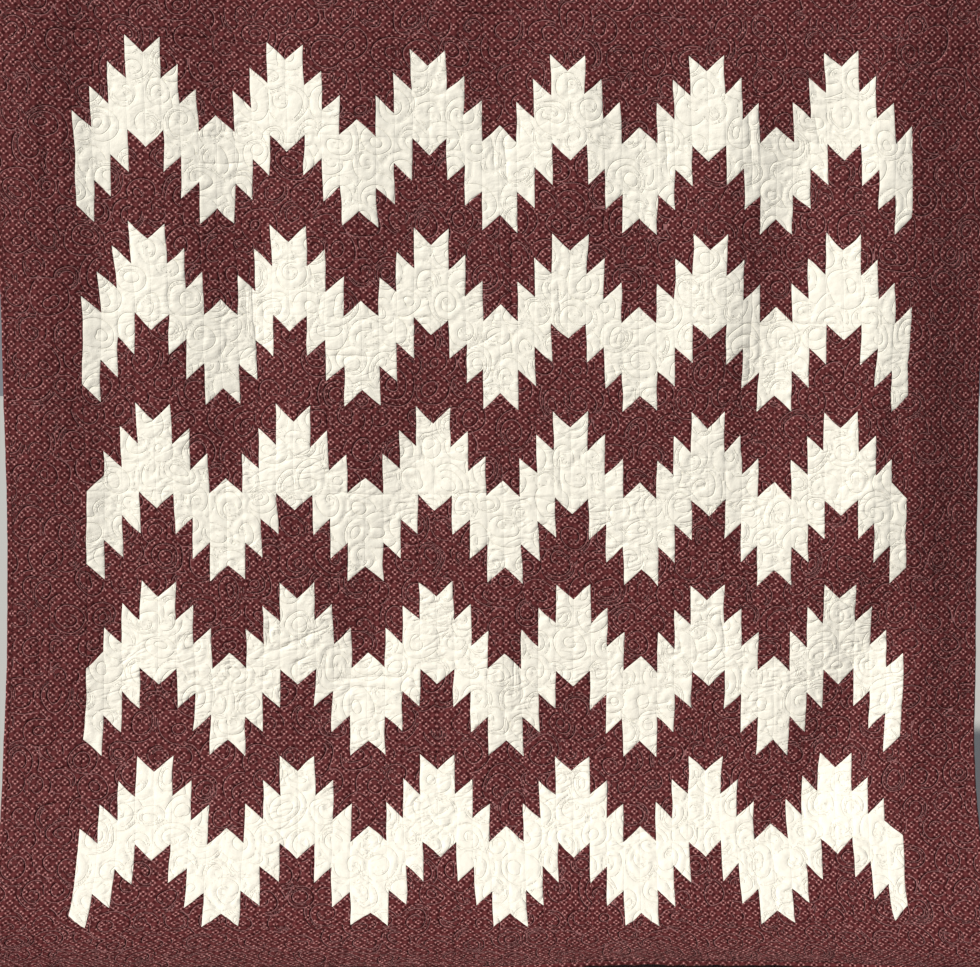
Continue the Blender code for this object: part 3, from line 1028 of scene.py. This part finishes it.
@dataclass(frozen=True)
class CottonFinish:
    """Plain quilting cotton, with its weave, its stitch lines, its seams and its creases."""

    name: str
    colour: Colour
    thread: Colour
    tone_spread: float = 0.012
    mottle: float = 0.02
    mottle_grain: float = 55.0
    roughness: float = 0.88
    sheen: float = 0.12
    specular: float = 0.25
    weave_grain: float = 1500.0
    weave_depth: float = 0.00006
    # The colour of the painted shade laid into the cloth in the stitch ditches and along seams
    painted_shade: Colour = (0.0, 0.0, 0.0, 1.0)
    thread_half: float = 0.00028
    thread_share: float = 1.0
    stitch_length: float = 0.0026
    stitch_share: float = 0.78
    line_gap: float = 0.0026
    groove_half: float = 0.0012
    groove_depth: float = 0.00055
    # Painted shade in the ditch beside each stitch line: its half width, its share and its patches
    ditch_half: float = 0.0014
    ditch_shade_share: float = 0.0
    ditch_patches: tuple[float, float, float] = (38.0, 0.36, 0.60)
    # Painted shade along seams where two cloths meet: its share and its reach
    seam_shade_share: float = 0.0
    edge_reach: float = 0.55
    seam_half: float = 0.0011
    seam_groove: float = 0.00018
    crumple_grain: float = 105.0
    crumple_depth: float = 0.0010
    crinkle_grain: float = 62.0
    crinkle_stretch: float = 0.40
    crinkle_tilt: float = 0.20
    crinkle_half: float = 0.080
    crinkle_depth: float = 0.0100
    crinkle_patches: tuple[float, float, float] = (17.0, 0.38, 0.60)
    crinkles_between: tuple[float, float] = (-0.15, -0.95)
    crinkles_above: float = 0.35
    crease_half: float = 0.0024
    crease_share: float = 0.45

    def make(self) -> Material:
        """The material."""
        bench = ShaderBench.named(self.name)
        place = bench.node("TexCoord").outputs["Object"]
        laid = bench.node("UVMap", uv_map="print").outputs["UV"]
        off_line = abs(bench.note("stitch"))
        real_line = bench.math("LESS_THAN", bench.note("stitch_gap"), self.line_gap)
        colour = self.stitched(self.cloth_colour(bench, laid, place), off_line, real_line, place)
        height = self.relief(off_line, real_line, place)
        bump = bench.node("Bump", {"Strength": 1.0, "Distance": 1.0, "Height": height})
        sockets = {
            "Base Color": colour,
            "Roughness": self.roughness,
            "Normal": bump.outputs["Normal"],
            "Sheen Weight": self.sheen,
            "Specular IOR Level": self.specular,
        }
        shader = bench.node("BsdfPrincipled", sockets)
        bench.node("OutputMaterial", {"Surface": shader.outputs["BSDF"]})
        return bench.material

    def stitched(self, colour: Socket, off_line: Number, real_line: Number, place: Socket) -> Socket:
        """The cloth's colour with its thread, and painted shade beside stitches and where two cloths meet.

        Args:
            colour: the cloth's own colour.
            off_line: the distance from the nearest stitch line.
            real_line: 1 where that line stands alone, and else 0.
            place: the place in space.

        Returns:
            A socket with the colour.
        """
        bench = off_line.bench
        step = bench.math("FRACT", bench.note("stitch_run") / self.stitch_length)
        thread = bench.math("LESS_THAN", off_line, self.thread_half) * real_line
        thread = thread * bench.math("LESS_THAN", step, self.stitch_share) * self.thread_share
        # Painted shade in the ditch beside each lone stitch line, in patches
        ditch_shading = bench.ramp(off_line, self.ditch_half, 0.0) * real_line
        ditch_shading = ditch_shading * bench.patches(place, *self.ditch_patches) * self.ditch_shade_share
        # Painted shade along seams where cream meets print and at the borders' seams
        edge = bench.ramp(bench.note("off_edge"), self.edge_reach, 0.0) * self.seam_shade_share
        colour = bench.mix(edge, bench.mix(ditch_shading, colour, self.painted_shade), self.painted_shade)
        return bench.mix(thread, colour, self.thread)

    def relief(self, off_line: Number, real_line: Number, place: Socket) -> Number:
        """Height of the fine relief.

        Args:
            off_line: the distance from the nearest stitch line.
            real_line: 1 where that line stands alone, and else 0.
            place: the place in space.

        Returns:
            The height.
        """
        bench = off_line.bench
        groove = (bench.ramp(off_line, 0.0, self.groove_half) - 1.0) * real_line * self.groove_depth
        weave = bench.noise(place, self.weave_grain, 1.0) * self.weave_depth
        crumple = bench.noise(place, self.crumple_grain, 2.5) * self.crumple_depth
        in_crease = bench.ramp(abs(bench.note("crease_off")), self.crease_half, 0.0)
        crease = in_crease * bench.note("crease_depth") * self.crease_share
        seam = bench.ramp(bench.note("seam"), self.seam_half, 0.0) * self.seam_groove
        return groove + weave + crumple + self.crinkles(bench, place) - crease - seam

    def crinkles(self, bench: ShaderBench, place: Socket) -> Number:
        """Height of short sharp crinkles: mostly level ones, in patches, and more of them lower down.

        Args:
            bench: where nodes are added.
            place: the place in space.

        Returns:
            The height.
        """
        across, _, up = bench.parts(place)
        sockets = {"X": across * self.crinkle_stretch, "Z": up - across * self.crinkle_tilt}
        tilted = bench.node("CombineXYZ", sockets).outputs["Vector"]
        wave = abs(bench.noise(tilted, self.crinkle_grain, 1.5) - 0.5)
        trough = bench.math("MINIMUM", wave, self.crinkle_half) - self.crinkle_half
        lower = bench.ramp(up, *self.crinkles_between) * (1.0 - self.crinkles_above) + self.crinkles_above
        return trough * (bench.patches(place, *self.crinkle_patches) * lower * self.crinkle_depth)

    def cloth_colour(self, bench: ShaderBench, laid: Socket, place: Socket) -> Socket:
        """The cloth's colour before the stitches.

        Args:
            bench: where nodes are added.
            laid: the place on the uncut cloth, in metres; not used here.
            place: the place in space.

        Returns:
            A socket with the colour.
        """
        return self.toned(bench, place)

    def toned(self, bench: ShaderBench, place: Socket) -> Socket:
        """The colour, uneven from patch to patch and mottled within each."""
        spot = (bench.noise(place, self.mottle_grain) - 0.5) * self.mottle
        value = bench.note("patch_tone") * self.tone_spread + spot + 1.0
        return bench.node("HueSaturation", {"Value": value, "Color": self.colour}).outputs["Color"]


@dataclass(frozen=True)
class DottedPrintFinish(CottonFinish):
    """Cotton with a small all-over print: staggered motifs of four light dots round a dark one."""

    light: Colour = (0.49, 0.235, 0.23, 1.0)
    dark: Colour = (0.020, 0.000, 0.001, 1.0)
    pitch: float = 0.0175
    wider: float = 1.04
    dot_reach: float = 0.0033
    dot: float = 0.00108
    ring: float = 0.0008
    ring_share: float = 0.15
    eye: float = 0.00135
    blot: float = 0.0026
    blot_share: float = 0.64
    blur: float = 0.40
    smear: float = 0.8
    smear_grain: float = 700.0
    worn_patches: tuple[float, float, float] = (230.0, 0.30, 0.58)
    worn_share: float = 0.6

    def cloth_colour(self, bench: ShaderBench, laid: Socket, place: Socket) -> Socket:
        """The ground with its printed motifs.

        Args:
            bench: where nodes are added.
            laid: the place on the uncut cloth, in metres.
            place: the place in space.

        Returns:
            A socket with the colour.
        """
        axis = self.pitch * math.sqrt(0.5)
        across, rise, _ = bench.parts(laid)
        across, rise = across / self.wider, rise * self.wider
        turned = [value * (math.sqrt(0.5) / axis) for value in (across + rise, across - rise)]
        offsets = [abs((bench.math("FRACT", value) - 0.5) * axis) for value in turned]
        far, near = bench.math("MAXIMUM", *offsets), bench.math("MINIMUM", *offsets)
        smear = (bench.noise(place, self.smear_grain) - 0.5) * self.smear
        reach = self.dot_reach * math.sqrt(0.5)
        on_blot = self.spot(far - 0.5 * axis, near, self.blot, smear)
        on_dot = self.spot(far - reach, near - reach, self.dot, smear)
        on_eye = self.spot(far, near, self.eye, smear)
        colour = bench.mix(on_blot * self.blot_share, self.toned(bench, place), self.dark)
        off_ring = bench.math("SQRT", far * far + near * near) - self.dot_reach
        on_ring = bench.ramp(abs(off_ring), 1.5 * self.ring, 0.5 * self.ring)
        colour = bench.mix(on_ring * self.ring_share, colour, self.light)
        kept = bench.patches(place, *self.worn_patches) * self.worn_share + (1.0 - self.worn_share)
        on_dot = on_dot * kept
        return bench.mix(on_dot, bench.mix(on_eye, colour, self.dark), self.light)

    def spot(self, along: Number, aside: Number, radius: float, smear: Number) -> Number:
        """A soft round spot of the print.

        Args:
            along: one distance from the spot's middle.
            aside: the other, square to it.
            radius: its radius.
            smear: the unevenness of its edge.

        Returns:
            1 on the spot and 0 off it.
        """
        distance = along.bench.math("SQRT", along * along + aside * aside) / radius
        return along.bench.ramp(distance + smear, 1.0 + self.blur, 1.0 - self.blur)


@dataclass(frozen=True)
class StageFinish:
    """The plain matt finish of the floor."""

    name: str = "stage_pale"
    colour: Colour = (0.62, 0.61, 0.59, 1.0)

    def make(self) -> Material:
        """The material."""
        bench = ShaderBench.named(self.name)
        shader = bench.node("BsdfPrincipled", {"Base Color": self.colour, "Roughness": 0.95})
        bench.node("OutputMaterial", {"Surface": shader.outputs["BSDF"]})
        return bench.material


CREAM_COTTON = CottonFinish("cream_cotton", (0.80, 0.775, 0.700, 1.0), (0.82, 0.79, 0.68, 1.0))
WINE_PRINT = DottedPrintFinish(
    "wine_print",
    (0.104, 0.0225, 0.0245, 1.0),
    (0.330, 0.150, 0.155, 1.0),
    mottle=0.45,
    # Painted shade in the stitch ditches and along the seams
    painted_shade=(0.014, 0.001, 0.001, 1.0),
    thread_half=0.00062,
    thread_share=0.68,
    roughness=0.58,
    sheen=0.01,
    specular=0.05,
    crumple_depth=0.0017,
    groove_half=0.0021,
    groove_depth=0.0019,
    # The painted shade's reach and share in the ditches, and its share along the seams
    ditch_half=0.0027,
    ditch_shade_share=0.48,
    seam_shade_share=0.60,
)
WINE_BACKING = CottonFinish("wine_backing", (0.100, 0.026, 0.026, 1.0), (0.075, 0.018, 0.018, 1.0))


@dataclass
class PiecedTop:
    """The quilt's face: zigzags of cream and of print, the small points at the ends, four borders."""

    grid: QuiltGrid
    cream: Material
    wine: Material
    bindings: dict[str, bpy.types.Object]
    # How far the seams of the top and bottom, and of the side borders, count as off the edge, for the painted
    # shade there
    end_seams_off: float = 0.10
    side_seams_off: float = 0.25

    def corners(self, rows: Array, columns: Array) -> Array:
        """Upper left, lower left, lower right and upper right grid points of cells."""
        upper_left = rows * self.grid.columns + columns
        lower_left = upper_left + self.grid.columns
        return np.stack([upper_left, lower_left, lower_left + 1, upper_left + 1], axis=-1)

    def block(self, rows: tuple[int, int], columns: tuple[int, int]) -> GridFaces:
        """All cells between two rows and two columns, as one patch."""
        row, column = np.meshgrid(np.arange(*rows), np.arange(*columns), indexing="ij")
        return GridFaces.of_quads(self.corners(row.ravel(), column.ravel()))

    def patch_row(self, row: int) -> tuple[GridFaces, GridFaces]:
        """The cloth above and below the toothed seam of one row of patches.

        Args:
            row: the row of patches, from the top.

        Returns:
            The faces above the seam, and those below it.
        """
        pattern = self.grid.pattern
        left, right = pattern.seam_heights(row)
        high, low = np.maximum(left, right), np.minimum(left, right)
        column = np.arange(pattern.columns)[None, :]
        step = np.arange(CELLS_PER_ROW)[:, None]
        top = CELLS_PER_ROW - step
        first_row = BORDER_CELLS_DOWN + row * CELLS_PER_ROW
        cells = np.broadcast_arrays(first_row + step, BORDER_CELLS_ACROSS + column)
        points = self.corners(*cells)
        strip = np.broadcast_to(column // CELLS_PER_STRIP, cells[0].shape)
        masks = (top - 1 >= high, top <= low)
        cut = ~(masks[0] | masks[1])
        rising = np.broadcast_to(left < right, cut.shape)
        rise, fall = cut & rising, cut & ~rising
        made = []
        for below, rise_corners, fall_corners in ((0, (0, 1, 3), (0, 2, 3)), (1, (1, 2, 3), (0, 1, 2))):
            patches = 2 * (row * STRIPS_ACROSS + strip) + below
            triangles = np.concatenate([points[rise][:, rise_corners], points[fall][:, fall_corners]])
            triangle_patches = np.concatenate([patches[rise], patches[fall]])
            mask = masks[below]
            made.append(GridFaces(points[mask], patches[mask], triangles, triangle_patches))
        return made[0], made[1]

    def bands(self) -> dict[tuple[Cloth, int], GridFaces]:
        """The faces of each zigzag, by its cloth and its number from the top."""
        found: dict[tuple[Cloth, int], list[GridFaces]] = {}
        for row in range(ROWS_DOWN):
            above, below = self.patch_row(row)
            band, odd = divmod(row, 2)
            upper = (Cloth.CREAM, band + 1) if odd else (Cloth.WINE, band)
            lower = (Cloth.WINE, band + 1) if odd else (Cloth.CREAM, band + 1)
            found.setdefault(upper, []).append(above)
            found.setdefault(lower, []).append(below)
        return {key: GridFaces.joined(parts) for key, parts in found.items()}

    def off_edge(self, bands: dict[tuple[Cloth, int], GridFaces]) -> Array:
        """How far each grid point counts as off the edge of its cloth, which sets the painted shade along its
        seams.

        Args:
            bands: the faces of each zigzag.

        Returns:
            0 where cream meets print, a little at the borders' seams, and 1 elsewhere.
        """
        met = np.zeros((len(Cloth), len(self.grid.flat)), bool)
        for (cloth, _), faces in bands.items():
            met[cloth.value, faces.corners] = True
        off = np.ones((self.grid.rows, self.grid.columns))
        off[[BORDER_CELLS_DOWN, BORDER_CELLS_DOWN + self.grid.pattern.rows], :] = self.end_seams_off
        off[:, [BORDER_CELLS_ACROSS, BORDER_CELLS_ACROSS + self.grid.pattern.columns]] = self.side_seams_off
        return np.where(met.all(axis=0), 0.0, off.ravel())

    def build(self) -> None:
        """Makes every piece of the face and says what each one is."""
        grid = self.grid
        bands = self.bands()
        mesher = ClothMesher(grid.flat, grid.front, grid.notes | {"off_edge": self.off_edge(bands)})
        ends = {0: "wine_points_top", ROWS_DOWN // 2: "wine_points_bottom"}
        in_order = sorted(bands, key=lambda key: (key[0].value, key[1]))
        for number, (cloth, band) in enumerate(in_order):
            faces = bands[cloth, band]
            if cloth is Cloth.CREAM:
                name, finish, slot = f"cream_zigzag_{band}", self.cream, "cream_patchwork"
            else:
                name, finish, slot = ends.get(band, f"wine_zigzag_{band}"), self.wine, "wine_print"
            piece = mesher.make(name, faces, finish, SEED + 10 * number)
            self.declare(piece, "patchwork_centre", faces)
        first_row, last_row = BORDER_CELLS_DOWN, BORDER_CELLS_DOWN + grid.pattern.rows
        first_column, last_column = BORDER_CELLS_ACROSS, BORDER_CELLS_ACROSS + grid.pattern.columns
        all_rows, all_columns = grid.rows - 1, grid.columns - 1
        sides = {
            "top": ((0, first_row), (0, all_columns)),
            "bottom": ((last_row, all_rows), (0, all_columns)),
            "left": ((first_row, last_row), (0, first_column)),
            "right": ((first_row, last_row), (last_column, all_columns)),
        }
        for number, (side, (rows, columns)) in enumerate(sides.items()):
            faces = self.block(rows, columns)
            piece = mesher.make(f"{side}_border_cloth", faces, self.wine, SEED + 200 + 10 * number)
            self.declare(piece, f"border_{side}", faces)

    def declare(
        self, piece: bpy.types.Object, node: str, faces: GridFaces
    ) -> None:
        """Says what the piece stands for and how large its flat cloth is.

        Args:
            piece: the new object.
            node: the solid's node.
            faces: its faces over the grid.
        """
        settle(piece, node)
        width, length = (float(span) for span in np.ptp(self.grid.flat[faces.corners], axis=0))
        area = min(faces.area(self.grid.flat), width * length)
        LOG.info("%s: flat %.3f by %.3f m", piece.name, width, length)


@dataclass
class BackCloth:
    """The plain cloth on the back, pulled in by the same stitches."""

    grid: QuiltGrid
    finish: Material
    relief_share: float = 0.55

    def build(self) -> None:
        """Makes the back and says what it is."""
        grid = self.grid
        rows = np.arange(0, grid.rows, BACK_STEP)
        columns = np.arange(0, grid.columns, BACK_STEP)
        chosen = (rows[:, None] * grid.columns + columns[None, :]).ravel()
        depth = THICKNESS + self.relief_share * grid.relief[chosen]
        points = grid.base[chosen] + grid.normal[chosen] * depth[:, None]
        stitch, run = grid.notes["stitch"][chosen], grid.notes["stitch_run"][chosen]
        own = {"stitch": stitch, "stitch_gap": np.abs(stitch), "stitch_run": run}
        mesher = ClothMesher(grid.flat[chosen], points, ClothMesher.far_notes(len(points)) | own)
        faces = GridFaces.of_quads(grid_quads(len(rows), len(columns)))
        piece = mesher.make("back_cloth", faces, self.finish, SEED + 300)
        settle(piece, "patchwork_centre")


@dataclass
class FoldedBinding:
    """The narrow folded binding round the quilt's edge, its corners mitred."""

    cloth: HangingCloth
    finish: Material
    pitch: float = 0.0055
    # Section from the front seam round the edge to the back seam: outward, and through the quilt
    section: tuple = (
        (-0.0008, 0.0001),
        (0.0000, -0.0006),
        (0.0022, -0.0011),
        (0.0048, -0.0010),
        (0.0067, -0.0003),
        (0.0077, 0.0012),
        (0.0077, 0.0026),
        (0.0065, 0.0039),
        (0.0045, 0.0045),
        (0.0020, 0.0045),
        (0.0000, 0.0041),
        (-0.0008, 0.0034),
    )
    # How unevenly it swells, over four lengths, and how much of that goes through the quilt
    waver: float = 0.00025
    swells: tuple[float, ...] = (0.004, 0.007, 0.013, 0.030)
    swell_through: float = 0.12
    # Half the depth at the very edge in which it doesn't swell
    still_half: float = 0.0012

    def flat_place(self, side: str, along: Array, outward: Array) -> tuple[Array, Array]:
        """The place on the flat quilt of points along one side.

        Args:
            side: top, bottom, left or right.
            along: their places along it.
            outward: how far out from the seam they are.

        Returns:
            Across and down.
        """
        return {
            "top": (along, BINDING - outward),
            "bottom": (along, LENGTH - BINDING + outward),
            "left": (BINDING - HALF_WIDTH - outward, along),
            "right": (HALF_WIDTH - BINDING + outward, along),
        }[side]

    def build(self, side: str, number: int) -> bpy.types.Object:
        """Makes the binding of one side and says what it is.

        Args:
            side: top, bottom, left or right.
            number: fixes its unevenness.

        Returns:
            The object.
        """
        upright = side in ("left", "right")
        low = BINDING if upright else BINDING - HALF_WIDTH
        high = LENGTH - BINDING if upright else HALF_WIDTH - BINDING
        count = int((high - low) / self.pitch)
        station = np.linspace(-1.0, 1.0, count)
        section = np.array(self.section)
        outward, through = section[None, :, 0], section[None, :, 1]
        along = 0.5 * (low + high) + station[:, None] * (0.5 * (high - low) + outward)
        chance = np.random.default_rng(SEED + 400 + number)
        phase = chance.uniform(0.0, TURN, len(self.swells))
        swell = sum(np.sin(along / scale + phase[k]) for k, scale in enumerate(self.swells))
        out = outward + 0.5 * self.waver * swell * (outward > 0.0)
        off_middle = np.abs(through - 0.5 * THICKNESS) > self.still_half
        deep = through * (1.0 + self.swell_through * swell * off_middle)
        across, down = (place.ravel() for place in self.flat_place(side, along, out))
        points = self.cloth.point(across, down)
        points = points + self.cloth.through(across, down) * deep.ravel()[:, None]
        quads = grid_quads(count, len(section))
        if side in ("bottom", "left"):
            quads = quads[:, ::-1]
        round_section = np.cumsum(np.hypot(*np.gradient(section, axis=0).T))
        flat = np.stack([along.ravel(), np.tile(round_section, count)], axis=-1)
        mesher = ClothMesher(flat, points, ClothMesher.far_notes(len(points)))
        faces = GridFaces.of_quads(quads)
        piece = mesher.make(f"{side}_binding_strip", faces, self.finish, SEED + 500 + number)
        settle(piece, f"binding_{side}")
        return piece


@dataclass
class Studio:
    """A pale floor, low sun from the upper left, soft sky and the camera."""

    floor_level: float
    floor_size: float = 30.0
    camera_place: tuple[float, float, float] = (-0.0108, -3.6, -0.424)
    camera_tilt: float = 85.0
    camera_lens: float = 91.14
    camera_sensor: float = 36.0
    camera_reach: float = 100.0
    sun_from: tuple[float, float, float] = (-0.60, -0.56, 0.51)
    sun_energy: float = 4.10
    sun_spread: float = 2.5
    sky_strength: float = 0.25
    sky_colour: Colour = (0.86, 0.91, 1.0, 1.0)
    sun_colour: tuple[float, float, float] = (1.0, 0.97, 0.90)

    def build(self) -> None:
        """Makes the floor, the lights and the camera."""
        self.lay_floor()
        self.light()
        self.aim()

    def lay_floor(self) -> None:
        """A wide floor under the quilt, which isn't part of it."""
        bpy.ops.object.select_all(action="DESELECT")
        bpy.ops.mesh.primitive_plane_add(size=self.floor_size, location=(0.0, 0.0, self.floor_level))
        floor = bpy.context.object
        floor.name = "stage_floor"
        floor.data.materials.append(StageFinish().make())
        floor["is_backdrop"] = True

    def light(self) -> None:
        """The sun and the sky."""
        lamp = bpy.data.lights.new("sun", "SUN")
        lamp.energy = self.sun_energy
        lamp.angle = math.radians(self.sun_spread)
        lamp.color = self.sun_colour
        sun = bpy.data.objects.new("sun", lamp)
        sun.rotation_euler = Vector(self.sun_from).to_track_quat("Z", "Y").to_euler()
        bpy.context.scene.collection.objects.link(sun)
        world = bpy.data.worlds.new("sky")
        world.use_nodes = True
        sky = world.node_tree.nodes["Background"]
        sky.inputs["Color"].default_value = self.sky_colour
        sky.inputs["Strength"].default_value = self.sky_strength
        bpy.context.scene.world = world
        bpy.context.scene.view_settings.view_transform = "Standard"
        bpy.context.scene.view_settings.look = "None"

    def aim(self) -> None:
        """The camera, level with the photograph's view."""
        lens = bpy.data.cameras.new("camera")
        lens.lens = self.camera_lens
        lens.sensor_width = self.camera_sensor
        lens.clip_end = self.camera_reach
        lens.dof.use_dof = False
        camera = bpy.data.objects.new("camera", lens)
        camera.location = self.camera_place
        camera.rotation_euler = (math.radians(self.camera_tilt), 0.0, 0.0)
        bpy.context.scene.collection.objects.link(camera)
        bpy.context.scene.camera = camera


def main() -> None:
    """Builds the pieces in order."""
    logging.basicConfig(level=logging.INFO, format="%(message)s")
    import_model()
    solid_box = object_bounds()
    cloth = HangingCloth()
    grid = QuiltGrid(cloth, SwirlQuilting(), ZigzagPattern())
    grid.build()
    wine = WINE_PRINT.make()
    binding = FoldedBinding(cloth, wine)
    sides = enumerate(("top", "bottom", "left", "right"))
    bindings = {side: binding.build(side, number) for number, side in sides}
    PiecedTop(grid, CREAM_COTTON.make(), wine, bindings).build()
    BackCloth(grid, WINE_BACKING.make()).build()
    Studio(floor_level=float(solid_box[0][2])).build()


if __name__ == "__main__":
    main()
